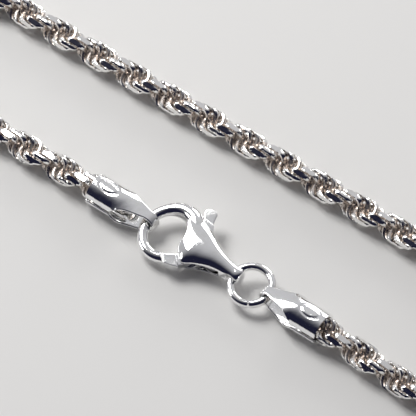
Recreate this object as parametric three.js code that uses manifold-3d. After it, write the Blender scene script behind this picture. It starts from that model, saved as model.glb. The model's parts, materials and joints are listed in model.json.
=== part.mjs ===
// Rope chain necklace, fastened with a lobster clasp and lying flat.
// Millimetres, +Z up. The origin lies on the surface under the middle of the fastening line,
// which runs from the left end cap, through the clasp and the jump ring, to the right end cap.

import * as THREE from 'three';
import { LoftGeometry } from 'three/addons/geometries/LoftGeometry.js';
import { mergeVertices } from 'three/addons/utils/BufferGeometryUtils.js';
import Module from 'manifold-3d';

const wasm = await Module();
wasm.setup();

// Fastening line
const lineHeading = THREE.MathUtils.degToRad(-36.5);
const claspRoll = THREE.MathUtils.degToRad(8);
const capRoll = THREE.MathUtils.degToRad(-5);
const runningGap = 0.08;
const seatGap = 0.03;
const noseGap = 0.1;

// Chain
const chainDiameter = 2.75;
const chainRestGap = 0.025;
const faceGap = 0.3;
const chainEntry = 1.56;
const coilX = 42.9;
const coilY = 1.4;
const coilRadius = 19.2;

// Clasp hook: an oval of wire that thickens towards the shoulder
const hookHalfLength = 2.45;
const hookHalfWidth = 2.7;
const hookWireHalfWidth = 0.58;
const hookWireHalfHeight = 0.52;
const shoulderHalfWidth = 0.9;
const shoulderHalfHeight = 1.08;
const hookStart = 20;
const shoulderStart = 55;
const shoulderEnd = 150;
const hookEnd = 306;

// Clasp body
const bodyCrown = 1.28;
const tailHalfWidth = 0.87;
const tailHalfThickness = 0.98;
const tailEnd = 8.9;
const slotHalfHeight = 0.52;
const slotTailWall = 6.7;
const eyeX = 7.92;
const eyeRadius = 0.53;
const eyeFlare = 0.27;

// Lever
const pivotX = 4.2;
const pivotY = 0.36;
const gateRadius = 4.3;
const bossRadius = 0.85;
const tabHalfThickness = 0.27;
const noseOverSlot = 0.08;
const tabStart = 2.15;

// Rivet and spring
const rivetRadius = 0.35;
const rivetHalfLength = 1.05;
const springWire = 0.12;

// Jump ring
const ringOuterDiameter = 4.9;
const ringWire = 0.8;

// End caps: one strip folded round the wire, its two ends curled round the chain
const capStrip = 0.25;
const capClearance = 0.045;
const barrelLength = 3.0;
const leafHalfAngle = THREE.MathUtils.degToRad(84);
const waistHalfWidth = 0.95;
const foldHalfWidth = 0.58;
const capReach = 6.45;
const hookFoldRadius = 0.9;
const ringFoldRadius = 0.72;
const foldSlack = 0.12;
const restWear = 0.03;

// Values that follow from the ones above
const leverHalfThickness = slotHalfHeight - runningGap;
const noseHalfThickness = slotHalfHeight + noseOverSlot;
const ringRadius = (ringOuterDiameter - ringWire) / 2;
const ringLeftWireX = eyeX + eyeRadius - ringWire / 2 - 0.02;
const ringX = ringLeftWireX + ringRadius;
const hookFoldX = -hookHalfLength - foldSlack;
const ringFoldX = ringX + ringRadius + foldSlack;
const barrelRadius = chainDiameter / 2 + capClearance;
const lineHeight = barrelRadius + capStrip - restWear;
const chainRestHeight = chainDiameter / 2 + chainRestGap;
const lineMiddle = ( hookFoldX + ringFoldX ) / 2;
const capFace = ( ringFoldX - hookFoldX ) / 2 + capReach;
const noseEdge = [ [ 1.95, 1.4 - hookHalfWidth ], [ 3.3, 0.2 - hookHalfWidth ] ];

const silver = { metalness: 1, roughness: 0.08 };
const finishes = {
	chain: new THREE.MeshStandardMaterial( { color: 0xd9d9dc, ...silver } ),
	clasp: new THREE.MeshStandardMaterial( { color: 0xe4e4e6, ...silver } ),
	cap: new THREE.MeshStandardMaterial( { color: 0xdfdfe2, ...silver, roughness: 0.16 } ),
	ring: new THREE.MeshStandardMaterial( { color: 0xe2e2e4, ...silver } ),
	steel: new THREE.MeshStandardMaterial( { color: 0xb4b4b8, metalness: 1, roughness: 0.3 } )
};

// A closed geometry as a solid for joining and cutting.
function solid( geometry ) {

	const bare = new THREE.BufferGeometry().copy( geometry );
	bare.deleteAttribute( 'normal' );
	bare.deleteAttribute( 'uv' );
	const merged = mergeVertices( bare, 1e-5 );
	return new wasm.Manifold( new wasm.Mesh( {
		numProp: 3,
		vertProperties: new Float32Array( merged.attributes.position.array ),
		triVerts: new Uint32Array( merged.index.array )
	} ) );

}

// A solid back as a geometry.
function geometryOf( manifold ) {

	const mesh = manifold.getMesh();
	const geometry = new THREE.BufferGeometry();
	geometry.setAttribute( 'position', new THREE.BufferAttribute( mesh.vertProperties, 3 ) );
	geometry.setIndex( new THREE.BufferAttribute( mesh.triVerts, 1 ) );
	geometry.computeVertexNormals();
	return geometry;

}

// A flat outline given as [x, y] corners, standing from z = bottom to z = top.
function plate( corners, bottom, top ) {

	const shape = new THREE.Shape( corners.map( ( [ x, y ] ) => new THREE.Vector2( x, y ) ) );
	const geometry = new THREE.ExtrudeGeometry( shape, { depth: top - bottom, bevelEnabled: false } );
	geometry.translate( 0, 0, bottom );
	return solid( geometry );

}

// Corners of an oval about ( x, y ).
function oval( x, y, radiusX, radiusY, sides ) {

	return Array.from( { length: sides }, ( _, i ) => {

		const angle = ( i + 0.5 ) / sides * 2 * Math.PI;
		return [ x + radiusX * Math.cos( angle ), y + radiusY * Math.sin( angle ) ];

	} );

}

// The hook: a round-sided wire swept along an oval from the shoulder to beyond the tip.
function hookWire() {

	const sections = [];
	const steps = 40;
	const sides = 16;
	for ( let i = 0; i <= steps; i ++ ) {

		const degrees = THREE.MathUtils.lerp( hookStart, hookEnd, i / steps );
		const angle = THREE.MathUtils.degToRad( degrees );
		const swell = 1 - THREE.MathUtils.smoothstep( degrees, shoulderStart, shoulderEnd );
		const halfWidth = THREE.MathUtils.lerp( hookWireHalfWidth, shoulderHalfWidth, swell );
		const halfHeight = THREE.MathUtils.lerp( hookWireHalfHeight, shoulderHalfHeight, swell );
		const across = Math.cos( angle );
		const up = Math.sin( angle );
		const centre = new THREE.Vector3( hookHalfLength * across, hookHalfWidth * up, 0 );
		const along = new THREE.Vector3( - hookHalfLength * up, hookHalfWidth * across, 0 );
		const outward = new THREE.Vector3( along.y, - along.x, 0 ).normalize();
		centre.addScaledVector( outward, halfWidth - hookWireHalfWidth );
		sections.push( Array.from( { length: sides }, ( _, j ) => {

			const turn = j / sides * 2 * Math.PI;
			const point = centre.clone().addScaledVector( outward, - halfWidth * Math.cos( turn ) );
			point.z = halfHeight * Math.sin( turn );
			return point;

		} ) );

	}

	return solid( new LoftGeometry( sections, { capStart: true, capEnd: true } ) );

}

// The pear: sections across the clasp, each with its far edge, near edge and half thickness.
function pearShell() {

	const stations = [
		[ 1.05, hookHalfWidth + 0.55, hookHalfWidth - 1.85, 1.0 ],
		[ 1.7, hookHalfWidth + 0.5, 1.8 - hookHalfWidth, 1.15 ],
		[ 2.4, hookHalfWidth + 0.3, 0.94 - hookHalfWidth, 1.22 ],
		[ 3.0, hookHalfWidth + 0.1, 0.5 - hookHalfWidth, 1.26 ],
		[ 3.5, hookHalfWidth - 0.08, 0.62 - hookHalfWidth, bodyCrown ],
		[ pivotX, hookHalfWidth - 0.43, 1.03 - hookHalfWidth, bodyCrown ],
		[ 5.25, 1.7, - 1.26, bodyCrown - 0.02 ],
		[ 6.3, 1.25, - 1.01, 1.15 ],
		[ eyeX - 0.72, 0.99, - 0.91, 1.03 ],
		[ eyeX - 0.02, tailHalfWidth, - tailHalfWidth, tailHalfThickness ],
		[ tailEnd - 0.35, tailHalfWidth, - tailHalfWidth, tailHalfThickness ],
		[ tailEnd - 0.1, tailHalfWidth - 0.08, 0.08 - tailHalfWidth, tailHalfThickness - 0.12 ],
		[ tailEnd, tailHalfWidth - 0.22, 0.22 - tailHalfWidth, tailHalfThickness - 0.34 ]
	];
	const sides = 24;
	const fullness = 0.86;
	const sections = stations.map( ( [ x, far, near, halfThickness ] ) =>
		Array.from( { length: sides }, ( _, j ) => {

			const turn = j / sides * 2 * Math.PI;
			const across = Math.sign( Math.cos( turn ) ) * Math.abs( Math.cos( turn ) ) ** fullness;
			const up = Math.sign( Math.sin( turn ) ) * Math.abs( Math.sin( turn ) ) ** fullness;
			return new THREE.Vector3( x, ( far + near + ( far - near ) * across ) / 2, halfThickness * up );

		} ) );
	return solid( new LoftGeometry( sections, { capStart: true, capEnd: true } ) );

}

// The eye in the tail: a hole across the clasp that flares towards both faces.
function tailEye() {

	const steps = 8;
	const reach = tailHalfWidth + 0.3;
	const profile = [ new THREE.Vector2( 0, - reach ) ];
	for ( let i = 0; i <= steps; i ++ ) {

		const height = THREE.MathUtils.lerp( - reach, reach, i / steps );
		const flare = Math.min( ( height / tailHalfWidth ) ** 2, 1 ) * eyeFlare;
		profile.push( new THREE.Vector2( eyeRadius + flare, height ) );

	}

	profile.push( new THREE.Vector2( 0, reach ) );
	const geometry = new THREE.LatheGeometry( profile, 24 );
	geometry.translate( eyeX, 0, 0 );
	return solid( geometry );

}

// The clasp body: hook and pear in one, cut by the gate's circle, the lever's slot, the bore and the eye.
function claspBody() {

	const tall = 3;
	const beyond = 4;
	const holeLength = hookHalfLength - hookWireHalfWidth - 0.04;
	const holeWidth = hookHalfWidth - hookWireHalfWidth;
	const hole = plate( oval( 0, 0, holeLength, holeWidth, 40 ), - tall, tall );
	const noseRoom = plate( [ [ - 1, noseEdge[ 0 ][ 1 ] ], [ - 1, - beyond ], [ 5, - beyond ],
		[ noseEdge[ 1 ][ 0 ] + 1.35, noseEdge[ 1 ][ 1 ] - 1.2 ], noseEdge[ 0 ] ], - tall, tall );
	const pear = pearShell().subtract( hole ).subtract( noseRoom );
	const tipCut = plate( oval( pivotX, pivotY, gateRadius, gateRadius, 96 ), - tall, tall )
		.intersect( plate( [ [ 0, - 1 ], [ 0, - beyond ], [ beyond, - beyond ], [ beyond, - 1 ] ], - tall, tall ) );
	const hook = hookWire().subtract( tipCut );
	const tabSlot = [ tabStart - 0.2, pivotX + 0.7 ];
	const slot = plate( [ [ 1.7, - beyond ], [ slotTailWall, - beyond ], [ slotTailWall, 0.75 ],
		[ tabSlot[ 1 ], 1.3 ], [ tabSlot[ 1 ], beyond ], [ tabSlot[ 0 ], beyond ], [ tabSlot[ 0 ], 1.2 ],
		[ 1.2, 1.2 ], [ 1.2, noseEdge[ 0 ][ 1 ] ] ], - slotHalfHeight, slotHalfHeight );
	const bore = plate( oval( pivotX, pivotY, rivetRadius + seatGap, rivetRadius + seatGap, 16 ),
		- rivetHalfLength - seatGap, rivetHalfLength + seatGap );
	return geometryOf( hook.add( pear ).subtract( slot ).subtract( bore ).subtract( tailEye() ) );

}

// The lever: gate, boss, heel and thumb tab in one plate that swings in the body's slot.
function claspLever() {

	const thin = leverHalfThickness;
	const tip = pivotX - gateRadius;
	const boss = plate( oval( pivotX, pivotY, bossRadius, bossRadius, 24 ), - thin, thin );
	const noseArm = plate( [ [ 1.9, noseEdge[ 0 ][ 1 ] - 0.5 ], [ 2.4, - hookHalfWidth ],
		[ pivotX - 1.1, 0.4 - hookHalfWidth ], [ pivotX + 0.5, pivotY - 0.66 ], [ pivotX - 0.5, pivotY + 0.54 ] ],
	- thin, thin );
	const tabArm = plate( [ [ pivotX - 1, pivotY - 0.56 ], [ pivotX + 0.4, pivotY + 0.54 ],
		[ pivotX - 0.85, hookHalfWidth + 0.4 ], [ tabStart - 0.05, hookHalfWidth + 0.55 ] ], - thin, thin );
	const heel = plate( [ [ pivotX, pivotY - 0.81 ], [ pivotX + 1.1, pivotY - 0.56 ],
		[ pivotX + 1.1, pivotY + 0.14 ], [ pivotX, pivotY + 0.79 ] ], - thin, thin );
	const tab = plate( [ [ 0, - 0.1 ], [ 1.15, - 0.1 ], [ 0.85, 1.15 ], [ 0.75, 1.6 ], [ 0.4, 1.85 ],
		[ - 0.1, 1.82 ], [ - 0.5, 1.55 ], [ - 0.52, 1.1 ], [ - 0.05, 0.4 ] ]
		.map( ( [ x, y ] ) => [ tabStart + x, hookHalfWidth + y ] ), - tabHalfThickness, tabHalfThickness );
	const nose = plate( [ [ tip, - hookHalfWidth - 0.13 ], [ tip, - hookHalfWidth - hookWireHalfWidth - 0.02 ],
		[ 1.5, - hookHalfWidth - 0.32 ], [ 2.4, - hookHalfWidth - 0.15 ],
		[ noseEdge[ 1 ][ 0 ] - 0.12, noseEdge[ 1 ][ 1 ] - noseGap ],
		[ noseEdge[ 0 ][ 0 ] + 0.08, noseEdge[ 0 ][ 1 ] - 0.27 ] ], - noseHalfThickness, noseHalfThickness );
	const reach = gateRadius - runningGap;
	const swing = plate( oval( pivotX, pivotY, reach, reach, 96 ), - noseHalfThickness, noseHalfThickness );
	const bore = plate( oval( pivotX, pivotY, rivetRadius + runningGap, rivetRadius + runningGap, 16 ), - 2, 2 );
	const arms = boss.add( noseArm ).add( tabArm ).add( heel ).add( tab );
	return geometryOf( arms.add( nose.intersect( swing ) ).subtract( bore ) );

}

// The rivet: a plain pin, blind at both ends.
function leverRivet() {

	const shape = new THREE.Shape( oval( pivotX, pivotY, rivetRadius, rivetRadius, 16 )
		.map( ( [ x, y ] ) => new THREE.Vector2( x, y ) ) );
	const geometry = new THREE.ExtrudeGeometry( shape, { depth: 2 * rivetHalfLength, bevelEnabled: false } );
	geometry.translate( 0, 0, - rivetHalfLength );
	return geometry;

}

// A tube of regular section along a smooth curve through the given points.
function tube( points, radius, sides, steps ) {

	const outline = oval( 0, 0, radius, radius, sides ).map( ( [ x, y ] ) => new THREE.Vector2( x, y ) );
	return new THREE.ExtrudeGeometry( new THREE.Shape( outline ), {
		extrudePath: new THREE.CatmullRomCurve3( points ),
		steps,
		bevelEnabled: false
	} );

}

// The spring presses the heel of the lever from the near side and leans on the tail wall.
function leverSpring() {

	const wallSide = slotTailWall - springWire - 0.06;
	const heelEnd = pivotX + 0.8;
	const points = [ [ wallSide, 0.4 ], [ wallSide - 0.05, - 0.2 ], [ wallSide - 0.5, - 0.75 ],
		[ heelEnd + 0.4, pivotY - 1.06 ], [ heelEnd, pivotY - 0.98 ] ];
	return tube( points.map( ( [ x, y ] ) => new THREE.Vector3( x, y, 0 ) ), springWire, 8, 14 );

}

// The jump ring: round wire bent to a circle about z.
function jumpRing() {

	const profile = oval( ringRadius, 0, ringWire / 2, ringWire / 2, 14 )
		.map( ( [ x, y ] ) => new THREE.Vector2( x, y ) );
	profile.push( profile[ 0 ].clone() );
	const geometry = new THREE.LatheGeometry( profile, 44 );
	geometry.rotateX( Math.PI / 2 );
	return geometry;

}

// An end cap about the wire that it holds, with its chain end towards +x.
// Each section of the strip has a place in the side view, a crown radius and a half width.
// Its underside is worn flat where it rests, as it lies turned about the line by the given tilt.
function endCap( foldRadius, tilt ) {

	const flat = 12;
	const across = 10;
	const barrelArc = barrelRadius * leafHalfAngle;
	const waistHeight = ( foldRadius + barrelRadius ) / 2 - 0.1;
	const leaf = [
		[ capReach, barrelRadius, barrelRadius, barrelArc ],
		[ capReach - barrelLength / 2, barrelRadius, barrelRadius, barrelArc ],
		[ capReach - barrelLength, barrelRadius, barrelRadius, barrelArc ],
		[ capReach - barrelLength - 0.55, barrelRadius - 0.05, 1.65, 1.65 ],
		[ capReach - barrelLength - 1.1, THREE.MathUtils.lerp( barrelRadius, waistHeight, 0.5 ), 2.4, 1.22 ],
		[ 1.5, waistHeight, 4, waistHalfWidth ],
		[ 0.7, foldRadius + 0.06, 8, THREE.MathUtils.lerp( foldHalfWidth, waistHalfWidth, 0.5 ) ]
	];
	const bends = 8;
	const stations = leaf.map( ( [ x, z, crown, half ] ) => ( { x, z, crown, half } ) );
	for ( let i = 0; i <= bends; i ++ ) {

		const angle = Math.PI / 2 + i / bends * Math.PI;
		stations.push( { x: foldRadius * Math.cos( angle ), z: foldRadius * Math.sin( angle ), crown: flat,
			half: foldHalfWidth } );

	}

	for ( const [ x, z, crown, half ] of leaf.toReversed() ) stations.push( { x, z: - z, crown, half } );
	const sections = stations.map( ( { x, z, crown, half }, i ) => {

		const before = stations[ Math.max( i - 1, 0 ) ];
		const after = stations[ Math.min( i + 1, stations.length - 1 ) ];
		const outward = new THREE.Vector3( before.z - after.z, 0, after.x - before.x ).normalize().negate();
		const ring = [];
		for ( let j = across; j >= 0; j -- ) {

			const turn = ( j / across * 2 - 1 ) * half / crown;
			ring.push( new THREE.Vector3( x, crown * Math.sin( turn ), z )
				.addScaledVector( outward, crown * Math.cos( turn ) - crown ) );

		}

		for ( let j = 0; j <= across; j ++ ) {

			const turn = ( j / across * 2 - 1 ) * half / crown;
			ring.push( new THREE.Vector3( x, ( crown + capStrip ) * Math.sin( turn ), z )
				.addScaledVector( outward, ( crown + capStrip ) * Math.cos( turn ) - crown ) );

		}

		return ring;

	} );
	const strip = solid( new LoftGeometry( sections, { capStart: true, capEnd: true } ) );
	const wide = 2 * capReach;
	const square = [ [ - wide, - wide ], [ wide, - wide ], [ wide, wide ], [ - wide, wide ] ];
	const ground = plate( square, - wide, - lineHeight )
		.rotate( [ THREE.MathUtils.radToDeg( - tilt ), 0, 0 ] );
	return geometryOf( strip.subtract( ground ) );

}

// A point on the fastening line, at a distance from its middle.
function onLine( distance, height ) {

	return [ distance * Math.cos( lineHeading ), distance * Math.sin( lineHeading ), height ];

}

// The chain's route on the surface, from the left cap round to the coil and back to the right cap.
const chainEnd = capFace - chainEntry;
const capMouth = capFace + 0.13;
const rest = chainRestHeight;
const climb = lineHeight - rest;
const routes = {
	chain_left_run: [ onLine( - chainEnd, lineHeight ), onLine( - capMouth, lineHeight - 0.01 ),
		[ - 13, 9.6, rest + 0.58 * climb ], [ - 16, 11.75, rest ], [ - 20.5, 15, rest ], [ - 24.5, 17.85, rest ] ],
	chain_bend: [ [ - 24.5, 17.85, rest ], [ - 27.9, 20.2, rest ], [ - 30.5, 22.7, rest ], [ - 31.2, 26.2, rest ],
		[ - 29.6, 30, rest ], [ - 26.1, 32.3, rest ], [ - 22.8, 32.5, rest ], [ - 20.2, 31.2, rest ] ],
	chain_upper_run: [ [ - 20.2, 31.2, rest ], [ - 16, 28.15, rest ], [ - 8, 22.4, rest ], [ 0, 16.7, rest ],
		[ 8, 11, rest ], [ 16, 5.25, rest ], [ 20.7, 1.85, rest ], [ 22.8, - 0.3, rest ] ],
	chain_right_run: [ [ 30.5, - 17.6, rest ], [ 27.6, - 17.75, rest ], [ 24.8, - 17.45, rest ],
		[ 22.2, - 16.75, rest ], [ 20.15, - 15.37, rest ], [ 17.3, - 13.15, rest ],
		[ 14.2, - 10.6, rest + 0.42 * climb ], onLine( capMouth, lineHeight - 0.01 ), onLine( chainEnd, lineHeight ) ]
};

const model = new THREE.Group();
const fastening = new THREE.Group();
fastening.rotation.z = lineHeading;
fastening.position.z = lineHeight;
model.add( fastening );
const line = new THREE.Group();
line.position.x = - lineMiddle;
fastening.add( line );
const clasp = new THREE.Group();
clasp.rotation.x = claspRoll;
line.add( clasp );

// A named piece in its group.
function add( group, name, geometry, finish ) {

	const mesh = new THREE.Mesh( geometry, finish );
	mesh.name = name;
	group.add( mesh );
	return mesh;

}

add( clasp, 'clasp_body', claspBody(), finishes.clasp );
add( clasp, 'clasp_lever', claspLever(), finishes.clasp );
add( clasp, 'lever_rivet', leverRivet(), finishes.steel );
add( clasp, 'lever_spring', leverSpring(), finishes.steel );
add( clasp, 'jump_ring', jumpRing(), finishes.ring ).position.x = ringX;

const leftCap = add( line, 'left_end_cap', endCap( hookFoldRadius, - capRoll ), finishes.cap );
leftCap.position.x = hookFoldX;
leftCap.rotation.set( - capRoll, 0, Math.PI, 'ZYX' );
const rightCap = add( line, 'right_end_cap', endCap( ringFoldRadius, capRoll ), finishes.cap );
rightCap.position.x = ringFoldX;
rightCap.rotation.x = capRoll;

for ( const [ name, route ] of Object.entries( routes ) ) {

	const points = route.map( ( [ x, y, z ] ) => new THREE.Vector3( x, y, z ) );
	points[ 0 ].addScaledVector( points[ 1 ].clone().sub( points[ 0 ] ).normalize(), faceGap / 2 );
	points.at( - 1 ).addScaledVector( points.at( - 2 ).clone().sub( points.at( - 1 ) ).normalize(), faceGap / 2 );
	const curve = new THREE.CatmullRomCurve3( points );
	const length = curve.getLength();
	add( model, name, tube( points, chainDiameter / 2, 8, Math.round( length / ( 2.4 * chainDiameter ) ) ),
		finishes.chain );

}

const coil = add( model, 'chain_coil', new THREE.LatheGeometry( [
	new THREE.Vector2( 0, chainRestHeight - chainDiameter / 2 ),
	new THREE.Vector2( coilRadius, chainRestHeight - chainDiameter / 2 ),
	new THREE.Vector2( coilRadius, chainRestHeight + chainDiameter / 2 ),
	new THREE.Vector2( 0, chainRestHeight + chainDiameter / 2 )
], 48 ), finishes.chain );
coil.rotation.x = Math.PI / 2;
coil.position.set( coilX, coilY, 0 );

export default model;
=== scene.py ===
"""A rope chain necklace laid flat and fastened, as a Blender add-on.

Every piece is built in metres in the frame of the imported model, and rides on one of its bodies.
The clasp, its ring and the end caps are drawn in millimetres along the fastening line, then placed.
"""

import json
import math

import bmesh
import bpy
import numpy as np
from bpy.props import FloatProperty, FloatVectorProperty, PointerProperty
from mathutils import Matrix, Vector


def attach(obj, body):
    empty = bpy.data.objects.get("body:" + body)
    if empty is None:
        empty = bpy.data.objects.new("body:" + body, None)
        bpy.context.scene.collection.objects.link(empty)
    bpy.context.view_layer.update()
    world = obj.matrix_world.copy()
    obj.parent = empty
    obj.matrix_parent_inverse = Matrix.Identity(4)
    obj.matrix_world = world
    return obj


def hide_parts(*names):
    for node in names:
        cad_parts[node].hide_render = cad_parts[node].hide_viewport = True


bl_info = {
    "name": "Rope Chain Necklace",
    "version": (1, 0, 0),
    "blender": (4, 5, 0),
    "location": "View3D > Sidebar > Necklace",
    "description": "Builds a diamond-cut rope chain, its end caps, clasp and jump ring",
    "category": "Object",
}

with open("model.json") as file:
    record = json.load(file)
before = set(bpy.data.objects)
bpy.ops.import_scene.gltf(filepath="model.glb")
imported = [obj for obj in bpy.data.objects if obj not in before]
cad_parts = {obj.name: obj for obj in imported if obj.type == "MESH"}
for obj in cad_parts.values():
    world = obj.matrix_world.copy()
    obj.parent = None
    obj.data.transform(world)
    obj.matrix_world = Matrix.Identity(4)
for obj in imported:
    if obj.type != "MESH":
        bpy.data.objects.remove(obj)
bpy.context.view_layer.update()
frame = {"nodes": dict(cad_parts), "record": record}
JOINTS = {joint["name"]: joint for joint in frame["record"]["behaviour"]["joints"]}
MM = 0.001


# ---------------------------------------------------------------------------
# Sizes and colours that a user would change


class ChainSettings(bpy.types.PropertyGroup):
    diameter: FloatProperty(
        name="Diameter", description="Width of the rope over its flats",
        default=2.75 * MM, unit="LENGTH", precision=5)
    length: FloatProperty(
        name="Length", description="Length of the rope between the end caps",
        default=421 * MM, unit="LENGTH", precision=4)
    wire: FloatProperty(
        name="Wire", description="Thickness of the wire of one link",
        default=0.55 * MM, unit="LENGTH", precision=5)
    link_radius: FloatProperty(
        name="Link radius", description="Outer radius of one link before it is cut",
        default=1.32 * MM, unit="LENGTH", precision=5)
    offset: FloatProperty(
        name="Link offset", description="Distance of a link's middle from the rope's axis",
        default=0.34 * MM, unit="LENGTH", precision=5)
    lean: FloatProperty(
        name="Lean", description="Angle between a link's axis and the rope's axis",
        default=math.radians(87), subtype="ANGLE")
    spacing: FloatProperty(
        name="Spacing", description="Advance from one link to the next",
        default=9.2 / 24 * MM, unit="LENGTH", precision=6)
    turn: FloatProperty(
        name="Turn", description="Turn from one link to the next, past the half turn",
        default=math.radians(15), subtype="ANGLE")
    silver: FloatVectorProperty(
        name="Silver", description="Colour of the links' cut flats",
        default=(0.94, 0.93, 0.92), subtype="COLOR", min=0, max=1)
    # Painted shade: the darker, warmer colour the links take deep in the rope, standing in for the shade the
    # links cast on each other.
    inner: FloatVectorProperty(
        name="Inner silver", description="Colour of the links deep in the rope",
        default=(0.70, 0.63, 0.575), subtype="COLOR", min=0, max=1)


class FittingSettings(bpy.types.PropertyGroup):
    wire: FloatProperty(
        name="Ring wire", description="Thickness of the jump ring's wire",
        default=0.8 * MM, unit="LENGTH", precision=5)
    ring: FloatProperty(
        name="Ring diameter", description="Outer diameter of the jump ring",
        default=4.9 * MM, unit="LENGTH", precision=5)
    strip: FloatProperty(
        name="Strip", description="Thickness of the end caps' strip",
        default=0.25 * MM, unit="LENGTH", precision=5)
    stamp: FloatProperty(
        name="Stamp depth", description="Depth of the plain oval stamped in each end cap",
        default=0.07 * MM, unit="LENGTH", precision=6)
    silver: FloatVectorProperty(
        name="Silver", description="Colour of the polished fittings",
        default=(0.93, 0.93, 0.935), subtype="COLOR", min=0, max=1)
    steel: FloatVectorProperty(
        name="Steel", description="Colour of the rivet and the spring",
        default=(0.56, 0.56, 0.58), subtype="COLOR", min=0, max=1)


class StageSettings(bpy.types.PropertyGroup):
    elevation: FloatProperty(
        name="Elevation", description="Height of the camera above the horizon",
        default=math.radians(56), subtype="ANGLE")
    distance: FloatProperty(
        name="Distance", description="Distance from the camera to the middle of its view",
        default=420 * MM, unit="LENGTH", precision=4)
    width: FloatProperty(
        name="Width", description="Width of the view at that distance",
        default=41.0 * MM, unit="LENGTH", precision=5)
    floor: FloatVectorProperty(
        name="Floor", description="Colour of the floor", default=(0.74, 0.73, 0.71),
        subtype="COLOR", min=0, max=1)


# ---------------------------------------------------------------------------
# The chain's route


def points_mm(*points):
    """Route points given in millimetres, as metres."""
    return [np.array(point) * MM for point in points]


LEFT_ROUTE = points_mm(
    (-9.89, 7.32, 1.64), (-11.25, 8.32, 1.63), (-13, 9.6, 1.54), (-16, 11.75, 1.4), (-20.5, 15, 1.4),
    (-24.5, 17.85, 1.4), (-27.9, 20.2, 1.4), (-30.5, 22.7, 1.4), (-31.2, 26.2, 1.4), (-29.6, 30, 1.4),
    (-26.1, 32.3, 1.4), (-22.8, 32.5, 1.4), (-20.2, 31.2, 1.4), (-16, 28.15, 1.4), (-8, 22.4, 1.4),
    (0, 16.7, 1.4), (8, 11, 1.4), (16, 5.25, 1.4), (20.7, 1.85, 1.4), (22.8, -0.3, 1.4))
RIGHT_ROUTE = points_mm(
    (30.5, -17.6, 1.4), (27.6, -17.75, 1.4), (24.8, -17.45, 1.4), (22.2, -16.75, 1.4),
    (20.15, -15.37, 1.4), (17.3, -13.15, 1.4), (14.2, -10.6, 1.5), (11.25, -8.32, 1.63),
    (9.89, -7.32, 1.64))
REST_HEIGHT = 1.4 * MM
COIL_CENTRE = np.array((41.4, 2.7)) * MM
COIL_PITCH = 6.1 * MM
COIL_IN_RADIUS = 18.05 * MM
COIL_IN_ANGLE = math.radians(213)
COIL_OUT_ANGLE = math.radians(270)
CORE_RADIUS = 11.6 * MM
# How finely the coil and the whole route are drawn, and how far the route's bends are eased.
COIL_STEP, CORE_STEPS, END_MARGIN = math.radians(12), 9, 0.01
ROUTE_STEP, ROUTE_FINENESS, ROUTE_ROUNDS, ROUTE_REACH = 0.4 * MM, 16, 3, 6


def coil_points():
    """The chain wound flat and doubled: in along one strand, an S in the middle, out along the other."""
    inner_angle = COIL_IN_ANGLE + 2 * math.pi * (COIL_IN_RADIUS - CORE_RADIUS) / COIL_PITCH

    def strand(angle, extra):
        radius = COIL_IN_RADIUS - COIL_PITCH * (angle - COIL_IN_ANGLE) / (2 * math.pi) + extra
        return COIL_CENTRE + radius * np.array((math.cos(angle), math.sin(angle)))

    inward = [strand(angle, 0) for angle in np.arange(COIL_IN_ANGLE, inner_angle, COIL_STEP)]
    bend = CORE_RADIUS / 2
    towards = np.array((math.cos(inner_angle), math.sin(inner_angle)))
    core = []
    for side in (1, -1):
        centre = COIL_CENTRE + side * bend * towards
        for turn in np.linspace(0, math.pi, CORE_STEPS, endpoint=side < 0):
            angle = inner_angle + side * turn
            core.append(centre + bend * np.array((math.cos(angle), math.sin(angle))))
    outer = np.arange(inner_angle + math.pi - COIL_STEP, COIL_OUT_ANGLE - END_MARGIN, -COIL_STEP)
    outward = [strand(angle, COIL_PITCH / 2) for angle in outer]
    return [np.array((x, y, REST_HEIGHT)) for x, y in inward + core + outward]


def curve_through(points, steps):
    """Points along a smooth curve through the given points, in any number of dimensions."""
    points = [np.array(point, dtype=float) for point in points]
    ends = [2 * points[0] - points[1], *points, 2 * points[-1] - points[-2]]
    line = []
    for before, start, end, after in zip(ends, ends[1:], ends[2:], ends[3:]):
        for t in np.linspace(0, 1, steps, endpoint=False):
            line.append(0.5 * (2 * start + (end - before) * t
                               + (2 * before - 5 * start + 4 * end - after) * t ** 2
                               + (3 * start - before - 3 * end + after) * t ** 3))
    return np.array(line + [points[-1]])


def even_points(line, step, places=3):
    """The same line with its points an even distance apart. Its first columns are places."""
    gaps = np.linalg.norm(np.diff(line[:, :places], axis=0), axis=1)
    travel = np.concatenate([[0], np.cumsum(gaps)])
    stops = np.linspace(0, travel[-1], int(round(travel[-1] / step)) + 1)
    return np.column_stack([np.interp(stops, travel, column) for column in line.T])


def eased(line, reach):
    """The line with its bends eased over a number of points to each side."""
    kernel = np.hanning(2 * reach + 1)
    kernel /= kernel.sum()
    before = 2 * line[0] - line[reach:0:-1]
    after = 2 * line[-1] - line[-2:-reach - 2:-1]
    padded = np.vstack([before, line, after])
    return np.column_stack([np.convolve(column, kernel, "valid") for column in padded.T])


def smooth_route(points):
    """Even points along the curve through the route points, its bends eased."""
    line = curve_through(points, ROUTE_FINENESS)
    for _ in range(ROUTE_ROUNDS):
        line = eased(even_points(line, ROUTE_STEP), ROUTE_REACH)
    return even_points(line, ROUTE_STEP)


# ---------------------------------------------------------------------------
# Materials

NOISE_ROUGHNESS, COARSE_DETAIL, FINE_DETAIL = 0.6, 3.0, 2.0
HAZE_SCALE, HAZE_SPAN, HAZE_TINT = 0.9, (0.42, 0.72), 0.6
SCRATCH_WAYS = ((5.0, (0.25, 3.5, 3.5)), (4.0, (3.0, 0.3, 3.0)))
SCRATCH_SPAN, SCRATCH_TINT, SCRATCH_DEPTH = (0.54, 0.62), 0.25, 0.15
DULLING = (0.93, 0.93, 0.90)
# Across this span of the depth the chain's colour turns to painted shade, and its roughness rises by
# DEEP_DULLING.
DEEP_SHADE_SPAN, DEEP_DULLING = (0.15, 0.75), 0.16
DENT_SCALE, RELIEF = 1.4, 0.02 * MM


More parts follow.
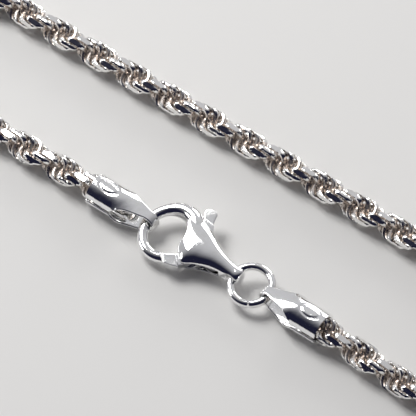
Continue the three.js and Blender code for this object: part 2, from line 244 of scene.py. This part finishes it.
class Value:
    """A node's output socket, whose sums, differences and products add Math nodes."""

    def __init__(self, nodes, socket):
        self.nodes, self.socket = nodes, socket

    def _math(self, operation, *values):
        return self.nodes.make("ShaderNodeMath", {"operation": operation}, dict(enumerate(values)))

    def __add__(self, other):
        return self._math("ADD", self, other)

    def __sub__(self, other):
        return self._math("SUBTRACT", self, other)

    def __rsub__(self, other):
        return self._math("SUBTRACT", other, self)

    def __mul__(self, other):
        return self._math("MULTIPLY", self, other)

    __radd__ = __add__
    __rmul__ = __mul__


class Nodes:
    """The node tree of a material or of the world."""

    def __init__(self, owner):
        owner.use_nodes = True
        self.tree = owner.node_tree

    def make(self, kind, settings, inputs, output=0):
        """Add a node of this kind: its settings come first, then the values or links of its sockets."""
        node = self.tree.nodes.new(kind)
        for name, value in settings.items():
            setattr(node, name, value)
        self.feed(node, inputs)
        return Value(self, node.outputs[output])

    def feed(self, node, inputs):
        """Set or link the sockets of a node."""
        for name, value in inputs.items():
            if isinstance(value, Value):
                self.tree.links.new(value.socket, node.inputs[name])
            else:
                node.inputs[name].default_value = value

    def finish(self, name, inputs):
        """Feed the tree's own last shader."""
        self.feed(self.tree.nodes[name], inputs)

    def place(self, scale):
        """Places on the object, scaled so that one unit is 1 mm divided by scale."""
        place = self.make("ShaderNodeTexCoord", {}, {}, "Object")
        return self.make("ShaderNodeVectorMath", {"operation": "MULTIPLY"},
                         {0: place, 1: [axis / MM for axis in scale]})

    def noise(self, scale, detail, stretch=(1, 1, 1)):
        """Cloudy noise, about scale patches to a millimetre, closer along an axis with a larger stretch."""
        place = self.place([scale * axis for axis in stretch])
        return self.make("ShaderNodeTexNoise", {},
                         {"Vector": place, "Scale": 1.0, "Detail": detail,
                          "Roughness": NOISE_ROUGHNESS}, "Fac")

    def ramp(self, value, low, high):
        """Eases from 0 at low to 1 at high."""
        return self.make("ShaderNodeMapRange", {"interpolation_type": "SMOOTHSTEP"},
                         {"Value": value, "From Min": low, "From Max": high}, "Result")

    def mix(self, factor, first, second):
        """The first colour, turning to the second as the factor goes to 1."""
        return self.make("ShaderNodeMix", {"data_type": "RGBA"}, {0: factor, 6: first, 7: second}, 2)


def silver(name, colour, roughness, haze, scratches, dents, inner=None):
    """Polished metal: cloudy patches of haze, hairline scratches both ways and a faint unevenness.

    Where inner is given, the colour turns to it as painted shade, and the metal dulls, as the mesh's depth
    attribute goes from 0 to 1.
    """
    material = bpy.data.materials.new(name)
    nodes = Nodes(material)
    cloud = nodes.ramp(nodes.noise(HAZE_SCALE, COARSE_DETAIL), *HAZE_SPAN)
    one_way, other_way = [nodes.noise(scale, FINE_DETAIL, stretch) * 0.5 for scale, stretch in SCRATCH_WAYS]
    line = nodes.ramp(one_way + other_way, *SCRATCH_SPAN)
    dull = [channel * share for channel, share in zip(colour, DULLING)]
    tint = nodes.mix(cloud * HAZE_TINT + line * SCRATCH_TINT, (*colour, 1), (*dull, 1))
    gloss = cloud * haze + line * scratches + roughness
    if inner:
        # Painted shade: deep in the rope the colour turns to the darker, warmer inner colour, and the
        # roughness rises.
        depth = nodes.make("ShaderNodeAttribute", {"attribute_name": "depth"}, {}, "Fac")
        deep = nodes.ramp(depth, *DEEP_SHADE_SPAN)
        tint = nodes.mix(deep, tint, (*inner, 1))
        gloss = gloss + deep * DEEP_DULLING
    height = nodes.noise(DENT_SCALE, FINE_DETAIL) * dents - line * (SCRATCH_DEPTH * scratches)
    bump = nodes.make("ShaderNodeBump", {}, {"Height": height, "Strength": 1.0, "Distance": RELIEF},
                      "Normal")
    nodes.finish("Principled BSDF",
                 {"Base Color": tint, "Roughness": gloss, "Metallic": 1.0, "Normal": bump})
    return material


# ---------------------------------------------------------------------------
# Meshes

SHARP_ANGLE = math.radians(35)


def placed(name, data):
    """A new object that holds the data, in the scene."""
    obj = bpy.data.objects.new(name, data)
    bpy.context.collection.objects.link(obj)
    return obj


def mesh_object(name, vertices, faces):
    """A mesh object from an array of vertices and a list of face arrays, each (faces, corners)."""
    mesh = bpy.data.meshes.new(name)
    vertices = np.asarray(vertices, dtype=np.float32)
    corners = np.concatenate([part.ravel() for part in faces]).astype(np.int32)
    sizes = np.concatenate([np.full(len(part), part.shape[1]) for part in faces]).astype(np.int32)
    starts = np.concatenate([[0], np.cumsum(sizes)[:-1]]).astype(np.int32)
    mesh.vertices.add(len(vertices))
    mesh.vertices.foreach_set("co", vertices.ravel())
    mesh.loops.add(len(corners))
    mesh.loops.foreach_set("vertex_index", corners)
    mesh.polygons.add(len(sizes))
    mesh.polygons.foreach_set("loop_start", starts)
    mesh.update(calc_edges=True)
    mesh.polygons.foreach_set("use_smooth", np.ones(len(sizes), dtype=bool))
    mesh.set_sharp_from_angle(angle=SHARP_ANGLE)
    return placed(name, mesh)


def tube_faces(rings, sides):
    """Quads between rings of the same number of sides, and one polygon over each end."""
    i = np.arange(rings - 1)[:, None]
    j = np.arange(sides)[None, :]
    a = i * sides + j
    b = i * sides + (j + 1) % sides
    quads = np.stack([a, a + sides, b + sides, b], axis=-1).reshape(-1, 4)
    first = np.arange(sides)[None, :]
    return [quads, first, (rings - 1) * sides + first[:, ::-1]]


def loft(name, sections):
    """A closed solid through sections, an array of (sections, points, 3), facing out."""
    count, sides = sections.shape[:2]
    obj = mesh_object(name, sections.reshape(-1, 3), tube_faces(count, sides))
    face_out(obj)
    return obj


def plate(corners, half_height):
    """A flat outline of (x, y) corners as a solid, to both sides of z = 0."""
    corners = np.array(corners, dtype=float)
    ends = [np.column_stack([corners, np.full(len(corners), side * half_height)]) for side in (-1, 1)]
    return loft("plate", np.array(ends))


def face_out(obj):
    """Turn every face of a closed mesh outwards."""
    work = bmesh.new()
    work.from_mesh(obj.data)
    bmesh.ops.recalc_face_normals(work, faces=work.faces)
    work.to_mesh(obj.data)
    work.free()


def oval(x, y, radius_x, radius_y, sides=96):
    """The (x, y) corners of an oval."""
    angle = (np.arange(sides) + 0.5) / sides * 2 * math.pi
    return np.column_stack([x + radius_x * np.cos(angle), y + radius_y * np.sin(angle)])


def around(sides):
    """Even angles round a full turn."""
    return np.linspace(0, 2 * math.pi, sides, endpoint=False)


def applied(obj, name):
    """A new object with the mesh that the modifiers of obj give. The old object and its cutters go."""
    used = {modifier.object for modifier in obj.modifiers if modifier.type == "BOOLEAN"}
    graph = bpy.context.evaluated_depsgraph_get()
    mesh = bpy.data.meshes.new_from_object(obj.evaluated_get(graph))
    for gone in {obj, *used}:
        bpy.data.objects.remove(gone)
    return placed(name, mesh)


def carve(obj, operation, *others):
    """The object joined with, cut by or kept within the others."""
    for other in others:
        modifier = obj.modifiers.new(operation, "BOOLEAN")
        modifier.operation = operation
        modifier.solver = "MANIFOLD"
        modifier.object = other
    return applied(obj, obj.name)


def polish(obj, name, voxel, rounds):
    """The object with every edge rounded as casting and tumbling leave it, all lengths in millimetres."""
    remesh = obj.modifiers.new("remesh", "REMESH")
    remesh.mode = "VOXEL"
    remesh.voxel_size = voxel
    ease = obj.modifiers.new("ease", "SMOOTH")
    ease.factor = 0.5
    ease.iterations = rounds
    made = applied(obj, name)
    made.data.polygons.foreach_set("use_smooth", np.ones(len(made.data.polygons), dtype=bool))
    return made


def fit(obj, place, body, nodes, material):
    """Set a piece drawn in millimetres in its place, on its body and in its finish."""
    obj.data.transform(place)
    obj.data.materials.clear()
    obj.data.materials.append(material)
    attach(obj, body)
    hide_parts(*nodes)


# ---------------------------------------------------------------------------
# The rope chain

# The flats stand at FLAT_SHARE of the rope's radius, FLATS of them, the first one turned by FLAT_TILT.
FLAT_SHARE = 0.955
FLATS = 8
FLAT_TILT = math.radians(84)
TWIST_HAND = -1
LINK_GAP = math.radians(34)
# Links with an x within FINE_SPAN are drawn finely. The counts are steps round the link and round its wire.
FINE_SPAN = (-23 * MM, 23.5 * MM)
FINE_LINK = (30, 10)
PLAIN_LINK = (14, 8)
HEADING_REACH = 0.4 * MM
# The depth, which masks the painted shade deep in the rope, is scaled up by this gain.
DEPTH_GAIN = 2


def link_caps(sides, last):
    """Quads that close both ends of a link's wire, whose number of sides is even."""
    caps = []
    for start, sense in ((0, 1), (last, -1)):
        for j in range(1, sides // 2):
            quad = [start + j - 1, start + j, start + sides - 1 - j, start + (sides - j) % sides]
            caps.append(quad[::sense])
    return np.array(caps)


def rope_links(settings, line, parity):
    """Vertices, quads and depths of every second link along the line, from link 0 or 1.

    Each link is a ring of wire with a gap. What stands out past the rope's flats is pressed back to them.
    """
    travel = np.concatenate([[0], np.cumsum(np.linalg.norm(np.diff(line, axis=0), axis=1))])
    count = int(travel[-1] / settings.spacing)
    first = (travel[-1] - (count - 1) * settings.spacing) / 2
    wire = settings.wire / 2
    middle = settings.link_radius - wire
    flat = settings.diameter / 2 * FLAT_SHARE

    def at(distance):
        return np.array([np.interp(distance, travel, line[:, i]) for i in range(3)])

    vertices, faces, depths, base = [], [], [], 0
    for k in range(parity, count, 2):
        place = first + k * settings.spacing
        centre = at(place)
        along = at(place + HEADING_REACH) - at(place - HEADING_REACH)
        along /= np.linalg.norm(along)
        side = np.cross((0, 0, 1), along)
        side /= np.linalg.norm(side)
        up = np.cross(along, side)
        steps, sides = FINE_LINK if FINE_SPAN[0] < centre[0] < FINE_SPAN[1] else PLAIN_LINK
        phase = k * (math.pi + settings.turn) * TWIST_HAND
        out = math.cos(phase) * side + math.sin(phase) * up
        across = np.cross(along, out)
        normal = math.cos(settings.lean) * along + TWIST_HAND * math.sin(settings.lean) * across
        sideways = np.cross(normal, out)
        u = math.pi + LINK_GAP / 2 + np.linspace(0, 1, steps + 1) * (2 * math.pi - LINK_GAP)
        v = np.arange(sides) / sides * 2 * math.pi
        ring = np.cos(u)[:, None] * out + np.sin(u)[:, None] * sideways
        points = (settings.offset * out + ring[:, None, :] * (middle + wire * np.cos(v)[None, :, None])
                  + normal * (wire * np.sin(v))[None, :, None]).reshape(-1, 3)
        for facet in range(FLATS):
            angle = FLAT_TILT + facet * 2 * math.pi / FLATS
            outward = math.cos(angle) * side + math.sin(angle) * up
            points = points - np.maximum(points @ outward - flat, 0)[:, None] * outward
        # How far each point sits in from the flats: the mask of the painted shade deep in the rope.
        away = np.linalg.norm(points - (points @ along)[:, None] * along, axis=1)
        depths.append(np.clip(1 - away / flat, 0, 1) * DEPTH_GAIN)
        vertices.append(points + centre)
        faces.append(tube_faces(steps + 1, sides)[0] + base)
        faces.append(link_caps(sides, steps * sides) + base)
        base += len(points)
    return np.vstack(vertices), [np.vstack(faces)], np.concatenate(depths)


class NECKLACE_OT_chain(bpy.types.Operator):
    bl_idname = "necklace.chain"
    bl_label = "Rope chain"

    def execute(self, context):
        settings = context.scene.necklace_chain
        line = smooth_route(LEFT_ROUTE + coil_points() + RIGHT_ROUTE)
        # settings.inner is painted shade on the links deep in the rope, masked by the depth attribute.
        metal = silver("chain silver", settings.silver, 0.09, 0.05, 0.05, 0.25, settings.inner)
        for parity, name in ((0, "chain_links_first_strand"), (1, "chain_links_second_strand")):
            vertices, faces, depths = rope_links(settings, line, parity)
            strand = mesh_object(name, vertices, faces)
            strand.data.attributes.new("depth", "FLOAT", "POINT").data.foreach_set("value", depths)
            strand.data.materials.append(metal)
            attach(strand, "root")
        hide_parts("chain_left_run", "chain_bend", "chain_upper_run", "chain_coil",
                    "chain_right_run")
        return {"FINISHED"}


# ---------------------------------------------------------------------------
# The clasp, its ring and the end caps, in millimetres along the fastening line

# x = 0 is the middle of the hook's oval. The fastening line's joints stand LINE_MIDDLE further along.
LINE_MIDDLE = 4.84
# Half height and reach of the cutters that only have to stand clear of the clasp.
TALL, BEYOND = 3, 4
# The hook: its oval's half axes, its wire's half width and half height at the tip and at the shoulder, and
# the degrees round the oval at which it starts, begins and stops thinning, and ends.
HOOK_LENGTH, HOOK_WIDTH = 2.45, 2.7
HOOK_WIRE = (0.58, 0.52)
SHOULDER = (0.9, 1.08)
HOOK_START, SHOULDER_START, SHOULDER_END, HOOK_END = 20, 55, 150, 306
HOOK_SECTIONS, HOOK_SIDES = 110, 40
# The pear at each station: x, far edge, near edge, half thickness.
PEAR = ((1.05, 3.25, 0.85, 1.0), (1.7, 3.2, -0.9, 1.15), (2.4, 3.0, -1.76, 1.22), (3.0, 2.8, -2.2, 1.26),
        (3.5, 2.62, -2.08, 1.28), (4.2, 2.27, -1.67, 1.28), (5.25, 1.7, -1.26, 1.26),
        (6.3, 1.25, -1.01, 1.15), (7.2, 0.99, -0.91, 1.03), (7.9, 0.87, -0.87, 0.98),
        (8.5, 0.87, -0.87, 0.98), (8.8, 0.78, -0.78, 0.85), (8.9, 0.6, -0.6, 0.6))
PEAR_STEPS, PEAR_SIDES, PEAR_FULLNESS = 9, 72, 0.86
# What is cut out of the casting: the hook's hole, the gate's room, the lever's slot, the eye and the bore.
HOLE = (HOOK_LENGTH - 0.62, HOOK_WIDTH - 0.58)
NOSE_EDGE = (1.95, -1.3)
NOSE_ROOM = ((-1, NOSE_EDGE[1]), (-1, -BEYOND), (5, -BEYOND), (4.65, -3.7), NOSE_EDGE)
SLOT = ((1.7, -BEYOND), (6.7, -BEYOND), (6.7, 0.75), (4.9, 1.3), (4.9, BEYOND), (1.95, BEYOND),
        (1.95, 1.2), (1.2, 1.2), (1.2, NOSE_EDGE[1]))
SLOT_HALF = 0.52
EYE_X, EYE_RADIUS, EYE_FLARE, EYE_REACH = 7.92, 0.56, 0.30, 0.87
EYE_SECTIONS, EYE_SIDES, EYE_OVERRUN = 17, 48, 0.3
PIVOT = (4.2, 0.36)
BORE_RADIUS, BORE_HALF, BORE_SIDES = 0.38, 1.08, 32
CASTING_VOXEL, CASTING_ROUNDS = 0.055, 14
# The lever: the gate sweeps GATE_RADIUS round the rivet, and the arms run from it to the thumb tab.
GATE_RADIUS, GATE_CLEARANCE = 4.3, 0.08
GATE_TIP = PIVOT[0] - GATE_RADIUS
GATE_QUARTER = ((0, -1), (0, -BEYOND), (BEYOND, -BEYOND), (BEYOND, -1))
NOSE = ((GATE_TIP, -2.83), (GATE_TIP, -3.3), (1.5, -3.02), (2.4, -2.85), (3.18, -2.6), (2.03, -1.57))
ARMS = (((1.9, -1.8), (2.4, -2.7), (3.1, -2.3), (4.7, -0.3), (3.7, 0.9)),
        ((3.2, -0.2), (4.6, 0.9), (3.35, 3.1), (2.1, 3.25)),
        ((4.2, -0.45), (5.3, -0.2), (5.3, 0.5), (4.2, 1.15)))
TAB = ((2.15, 2.6), (3.3, 2.6), (3.0, 3.85), (2.9, 4.3), (2.55, 4.55), (2.05, 4.52), (1.65, 4.25),
       (1.63, 3.8), (2.1, 3.1))
NOSE_HALF, LEVER_HALF, TAB_HALF = 0.58, 0.44, 0.27
HUB_RADIUS, HUB_BORE = 0.85, 0.43
LEVER_VOXEL, LEVER_ROUNDS = 0.04, 5
# The jump ring, and the seam where its wire's ends meet.
RING_X, RING_SECTIONS, RING_SIDES = 10.08, 150, 36
SEAM_PLACE, SEAM, SEAM_BEVEL, SEAM_INSET = math.radians(-62), math.radians(0.9), math.radians(1.6), 0.05
# The end caps: the barrel round the rope, the waist and the fold, and how finely the strip is drawn.
BARREL_RADIUS, BARREL_LENGTH, CAP_REACH = 1.42, 3.0, 6.45
FOLD_WIDTH, WAIST_WIDTH, LEAF_ANGLE = 0.58, 0.95, math.radians(84)
STRIP_STEP, STRIP_REACH, STRIP_COLUMNS, EDGE_STEPS = 0.05, 5, 71, 7
STAMP_X, STAMP_LENGTH, STAMP_WIDTH, STAMP_LINE = 4.75, 1.05, 0.58, 0.085
# Each cap: its name, its node, the fold's radius, the fold's x, its heading and its roll.
CAPS = (("left_cap_strip", "left_end_cap", 0.9, -2.57, math.pi, math.radians(5)),
        ("right_cap_strip", "right_end_cap", 0.72, 12.25, 0, math.radians(-5)))


def line_place(up):
    """The fastening line's frame in metres, for a piece in millimetres whose own z points up."""
    swing = JOINTS["jump_ring_swing"]
    along = Vector(swing["axis"]).normalized()
    side = up.cross(along).normalized()
    place = Matrix((along, side, along.cross(side))).transposed().to_4x4()
    start = Vector(swing["pos_m"]) - along * LINE_MIDDLE * MM
    return Matrix.Translation(start) @ place @ Matrix.Scale(MM, 4)


def clasp_place():
    """The fastening line's frame with the lever's rivet standing upright."""
    return line_place(-Vector(JOINTS["lever_open"]["axis"]))


def hook_wire():
    """The hook's round wire, which thickens towards the shoulder."""
    turn = around(HOOK_SIDES)
    sections = []
    for degrees in np.linspace(HOOK_START, HOOK_END, HOOK_SECTIONS):
        angle = math.radians(degrees)
        share = np.clip((degrees - SHOULDER_START) / (SHOULDER_END - SHOULDER_START), 0, 1)
        swell = 1 - share ** 2 * (3 - 2 * share)
        half_width, half_height = [thin + (thick - thin) * swell for thin, thick in zip(HOOK_WIRE, SHOULDER)]
        along = np.array((-HOOK_LENGTH * math.sin(angle), HOOK_WIDTH * math.cos(angle)))
        outward = np.array((along[1], -along[0])) / np.linalg.norm(along)
        centre = np.array((HOOK_LENGTH * math.cos(angle), HOOK_WIDTH * math.sin(angle)))
        centre += outward * (half_width - HOOK_WIRE[0])
        flat = centre - outward * half_width * np.cos(turn)[:, None]
        sections.append(np.column_stack([flat, half_height * np.sin(turn)]))
    return loft("hook", np.array(sections))


def pear_shell():
    """The body's pear, from its place, far edge, near edge and half thickness at each station."""
    turn = around(PEAR_SIDES)
    across = np.sign(np.cos(turn)) * np.abs(np.cos(turn)) ** PEAR_FULLNESS
    up = np.sign(np.sin(turn)) * np.abs(np.sin(turn)) ** PEAR_FULLNESS
    sections = []
    for x, far, near, half in curve_through(PEAR, PEAR_STEPS):
        width = (far + near + (far - near) * across) / 2
        sections.append(np.column_stack([np.full(len(turn), x), width, half * up]))
    return loft("pear", np.array(sections))


def tail_eye():
    """The cutter of the eye across the tail, flared towards both faces."""
    reach = EYE_REACH + EYE_OVERRUN
    turn = around(EYE_SIDES)
    sections = []
    for y in np.linspace(-reach, reach, EYE_SECTIONS):
        radius = EYE_RADIUS + min((y / EYE_REACH) ** 2, 1) * EYE_FLARE
        sections.append(np.column_stack([EYE_X + radius * np.cos(turn), np.full(len(turn), y),
                                         radius * np.sin(turn)]))
    return loft("eye", np.array(sections))


def clasp_body():
    """The casting: hook and pear joined, less the gate's room, the slot, the eye and the rivet's bore."""
    gate_room = carve(plate(oval(*PIVOT, GATE_RADIUS, GATE_RADIUS), TALL), "INTERSECT",
                      plate(GATE_QUARTER, TALL + 1))
    hook = carve(hook_wire(), "DIFFERENCE", gate_room)
    pear = carve(pear_shell(), "DIFFERENCE", plate(oval(0, 0, *HOLE), TALL), plate(NOSE_ROOM, TALL))
    body = carve(hook, "UNION", pear)
    body = carve(body, "DIFFERENCE", plate(SLOT, SLOT_HALF), tail_eye(),
                 plate(oval(*PIVOT, BORE_RADIUS, BORE_RADIUS, BORE_SIDES), BORE_HALF))
    return polish(body, "clasp_casting", CASTING_VOXEL, CASTING_ROUNDS)


def clasp_lever():
    """The lever: the gate's nose, the arms round the rivet and the thumb tab."""
    gate_reach = GATE_RADIUS - GATE_CLEARANCE
    nose = carve(plate(NOSE, NOSE_HALF), "INTERSECT", plate(oval(*PIVOT, gate_reach, gate_reach), 1))
    arms = [plate(arm, LEVER_HALF) for arm in ARMS]
    hub = plate(oval(*PIVOT, HUB_RADIUS, HUB_RADIUS), LEVER_HALF)
    lever = carve(hub, "UNION", *arms, plate(TAB, TAB_HALF), nose)
    lever = carve(lever, "DIFFERENCE", plate(oval(*PIVOT, HUB_BORE, HUB_BORE, BORE_SIDES), 1))
    return polish(lever, "clasp_gate_and_tab", LEVER_VOXEL, LEVER_ROUNDS)


class NECKLACE_OT_clasp(bpy.types.Operator):
    """Make the clasp's casting and its lever, and finish the rivet and the spring"""
    bl_idname = "necklace.clasp"
    bl_label = "Lobster clasp"

    def execute(self, context):
        settings = context.scene.necklace_fittings
        bright = silver("clasp silver", settings.silver, 0.05, 0.05, 0.035, 0.28)
        fit(clasp_body(), clasp_place(), "clasp", ["clasp_body"], bright)
        fit(clasp_lever(), clasp_place(), "lever", ["clasp_lever"], bright)
        steel = silver("drawn steel", settings.steel, 0.28, 0.12, 0.10, 0.5)
        for name in ("lever_rivet", "lever_spring"):
            frame["nodes"][name].data.materials.clear()
            frame["nodes"][name].data.materials.append(steel)
        return {"FINISHED"}


class NECKLACE_OT_jump_ring(bpy.types.Operator):
    """Bend the jump ring from round wire, its two ends met at a fine seam"""
    bl_idname = "necklace.jump_ring"
    bl_label = "Jump ring"

    def execute(self, context):
        settings = context.scene.necklace_fittings
        half_wire = settings.wire / MM / 2
        radius = settings.ring / MM / 2 - half_wire
        inner = np.linspace(SEAM + SEAM_BEVEL, 2 * math.pi - SEAM - SEAM_BEVEL, RING_SECTIONS)
        angles = np.concatenate([[SEAM], inner, [2 * math.pi - SEAM]]) + SEAM_PLACE
        turn = around(RING_SIDES)
        sections = []
        for i, angle in enumerate(angles):
            half = half_wire - (SEAM_INSET if i in (0, len(angles) - 1) else 0)
            reach = radius + half * np.cos(turn)
            sections.append(np.column_stack([RING_X + reach * math.cos(angle), reach * math.sin(angle),
                                             half * np.sin(turn)]))
        fit(loft("jump_ring_wire", np.array(sections)), clasp_place(), "jump_ring", ["jump_ring"],
            silver("ring silver", settings.silver, 0.05, 0.05, 0.05, 0.3))
        return {"FINISHED"}


def cap_stations(fold_radius):
    """The end cap's strip from one end round the fold to the other: x, height, bend across, half width."""
    barrel_arc = BARREL_RADIUS * LEAF_ANGLE
    barrel_end = CAP_REACH - BARREL_LENGTH
    waist_height = (fold_radius + BARREL_RADIUS) / 2 - 0.1
    leaf = [(CAP_REACH, BARREL_RADIUS, 1 / BARREL_RADIUS, barrel_arc),
            (CAP_REACH - BARREL_LENGTH / 2, BARREL_RADIUS, 1 / BARREL_RADIUS, barrel_arc),
            (barrel_end, BARREL_RADIUS, 1 / BARREL_RADIUS, barrel_arc),
            (barrel_end - 0.55, BARREL_RADIUS - 0.05, 1 / 1.65, 1.65),
            (barrel_end - 1.1, (BARREL_RADIUS + waist_height) / 2, 1 / 2.4, 1.22),
            (1.5, waist_height, 1 / 4, WAIST_WIDTH),
            (0.7, fold_radius + 0.06, 1 / 8, (FOLD_WIDTH + WAIST_WIDTH) / 2)]
    fold = [(fold_radius * math.cos(angle), fold_radius * math.sin(angle), 1 / 12, FOLD_WIDTH)
            for angle in np.linspace(math.pi / 2, 3 * math.pi / 2, 9)]
    stations = np.array(leaf + fold + [(x, -z, bend, half) for x, z, bend, half in leaf[::-1]])
    return eased(eased(even_points(stations, STRIP_STEP, 2), STRIP_REACH), STRIP_REACH)


def end_cap(name, fold_radius, strip, stamp):
    """A strip folded round a wire, its ends curled round the chain, a plain oval stamped in each leaf."""
    stations = cap_stations(fold_radius)
    step = np.gradient(stations[:, :2], axis=0)
    step /= np.linalg.norm(step, axis=1)[:, None]
    edge = np.linspace(0, math.pi, EDGE_STEPS)[1:-1]
    share = np.linspace(-1, 1, STRIP_COLUMNS)
    flat = np.zeros(len(share))
    shares = np.concatenate([share[::-1], np.full(len(edge), -1), share, np.full(len(edge), 1)])
    thick = np.concatenate([flat, strip * (1 - np.cos(edge)) / 2, np.full(len(share), strip),
                            strip * (1 + np.cos(edge)) / 2])
    spread = np.concatenate([flat, -np.sin(edge), flat, np.sin(edge)])
    sections = []
    for (x, z, bend, half), (ahead, rise) in zip(stations, step):
        outward = np.array((rise, 0, -ahead))
        half -= strip / 2
        across = shares * half
        turns = across * bend
        from_middle = np.hypot((x - STAMP_X) / STAMP_LENGTH, across / STAMP_WIDTH)
        groove = np.exp(-((from_middle - 1) * STAMP_WIDTH / STAMP_LINE) ** 2)
        heights = thick - stamp * groove * (thick > 0)
        crown = 1 / bend
        reach = crown + heights
        points = np.array((x, 0, z)) + outward * (reach * np.cos(turns) - crown)[:, None]
        points[:, 1] += reach * np.sin(turns)
        sideways = np.cos(turns)[:, None] * np.array((0, 1, 0)) - np.sin(turns)[:, None] * outward
        points += (spread * strip / 2)[:, None] * sideways
        sections.append(points)
    return loft(name, np.array(sections))


class NECKLACE_OT_end_caps(bpy.types.Operator):
    """Fold and curl the two end caps"""
    bl_idname = "necklace.end_caps"
    bl_label = "End caps"

    def execute(self, context):
        settings = context.scene.necklace_fittings
        metal = silver("cap silver", settings.silver, 0.08, 0.06, 0.10, 0.7)
        for name, node, fold_radius, x, heading, roll in CAPS:
            cap = end_cap(name, fold_radius, settings.strip / MM, settings.stamp / MM)
            turned = Matrix.Rotation(heading, 4, "Z") @ Matrix.Rotation(roll, 4, "X")
            place = line_place(Vector((0, 0, 1))) @ Matrix.Translation((x, 0, 0)) @ turned
            fit(cap, place, "root", [node], metal)
            for vertex in cap.data.vertices:
                vertex.co.z = max(vertex.co.z, 0)
        return {"FINISHED"}


# ---------------------------------------------------------------------------
# The stage

VIEW_MIDDLE = Vector((0, 6.1 * MM, 1.4 * MM))
SENSOR_WIDTH, CLIP_START, CLIP_END = 36, 0.01, 10
FLOOR_HALF, FLOOR_ROUGHNESS = 0.6, 0.9
ROOM_SPAN, ROOM_DARK, ROOM_PALE = (-0.45, 0.6), (0.012, 0.013, 0.03, 1), (0.55, 0.55, 0.565, 1)
LIGHT_AIM = Vector((0, 6 * MM, 0))
LIGHTS = (("overhead", (-0.155, 0.18, 0.31), 0.18, 11.5),
          ("back", (0.20, 0.40, 0.16), 0.20, 4.5),
          ("left", (-0.40, 0.02, 0.14), 0.16, 2.4))


def room_light(world):
    """A pale room that darkens towards -y."""
    nodes = Nodes(world)
    direction = nodes.make("ShaderNodeTexCoord", {}, {}, "Generated")
    ahead = nodes.make("ShaderNodeSeparateXYZ", {}, {0: direction}, "Y")
    colour = nodes.mix(nodes.ramp(ahead, *ROOM_SPAN), ROOM_DARK, ROOM_PALE)
    nodes.finish("Background", {"Color": colour, "Strength": 1.0})


class NECKLACE_OT_stage(bpy.types.Operator):
    """Lay the floor and set the lights and the camera"""
    bl_idname = "necklace.stage"
    bl_label = "Stage"

    def execute(self, context):
        settings = context.scene.necklace_stage
        camera = placed("camera", bpy.data.cameras.new("camera"))
        camera.data.sensor_width = SENSOR_WIDTH
        camera.data.lens = SENSOR_WIDTH * settings.distance / settings.width
        camera.data.clip_start, camera.data.clip_end = CLIP_START, CLIP_END
        back = Vector((0, -math.cos(settings.elevation), math.sin(settings.elevation)))
        camera.location = VIEW_MIDDLE + back * settings.distance
        camera.rotation_euler = (math.pi / 2 - settings.elevation, 0, 0)
        context.scene.camera = camera
        corners = [(x * FLOOR_HALF, y * FLOOR_HALF, 0) for x, y in ((-1, -1), (1, -1), (1, 1), (-1, 1))]
        floor = mesh_object("floor", corners, [np.array([[0, 1, 2, 3]])])
        finish = bpy.data.materials.new("floor")
        Nodes(finish).finish("Principled BSDF",
                             {"Base Color": (*settings.floor, 1), "Roughness": FLOOR_ROUGHNESS})
        floor.data.materials.append(finish)
        context.scene.view_settings.view_transform = "Standard"
        context.scene.world = context.scene.world or bpy.data.worlds.new("world")
        room_light(context.scene.world)
        for name, place, size, radiance in LIGHTS:
            light = placed(name, bpy.data.lights.new(name, "AREA"))
            light.data.shape = "SQUARE"
            light.data.size = size
            light.data.energy = radiance * math.pi * size ** 2
            light.location = place
            light.rotation_euler = (LIGHT_AIM - Vector(place)).to_track_quat("-Z", "Y").to_euler()
        return {"FINISHED"}


OPERATORS = (NECKLACE_OT_stage, NECKLACE_OT_chain, NECKLACE_OT_clasp, NECKLACE_OT_jump_ring,
             NECKLACE_OT_end_caps)
GROUPS = (("necklace_chain", ChainSettings), ("necklace_fittings", FittingSettings),
          ("necklace_stage", StageSettings))


class NECKLACE_PT_panel(bpy.types.Panel):
    """The necklace's sizes, colours and pieces"""
    bl_label = "Rope Chain Necklace"
    bl_idname = "NECKLACE_PT_panel"
    bl_space_type = "VIEW_3D"
    bl_region_type = "UI"
    bl_category = "Necklace"

    def draw(self, context):
        for operator in OPERATORS:
            self.layout.operator(operator.bl_idname)
        for name, group in GROUPS:
            box = self.layout.box()
            for setting in group.__annotations__:
                box.prop(getattr(context.scene, name), setting)


def register():
    for cls in (*[group for _, group in GROUPS], *OPERATORS, NECKLACE_PT_panel):
        bpy.utils.register_class(cls)
    for name, group in GROUPS:
        setattr(bpy.types.Scene, name, PointerProperty(type=group))


def unregister():
    for name, _ in GROUPS:
        delattr(bpy.types.Scene, name)
    for cls in (NECKLACE_PT_panel, *OPERATORS[::-1], *[group for _, group in GROUPS[::-1]]):
        bpy.utils.unregister_class(cls)


def main():
    register()
    bpy.ops.necklace.stage()
    bpy.ops.necklace.chain()
    bpy.ops.necklace.clasp()
    bpy.ops.necklace.jump_ring()
    bpy.ops.necklace.end_caps()


if __name__ == "__main__":
    main()
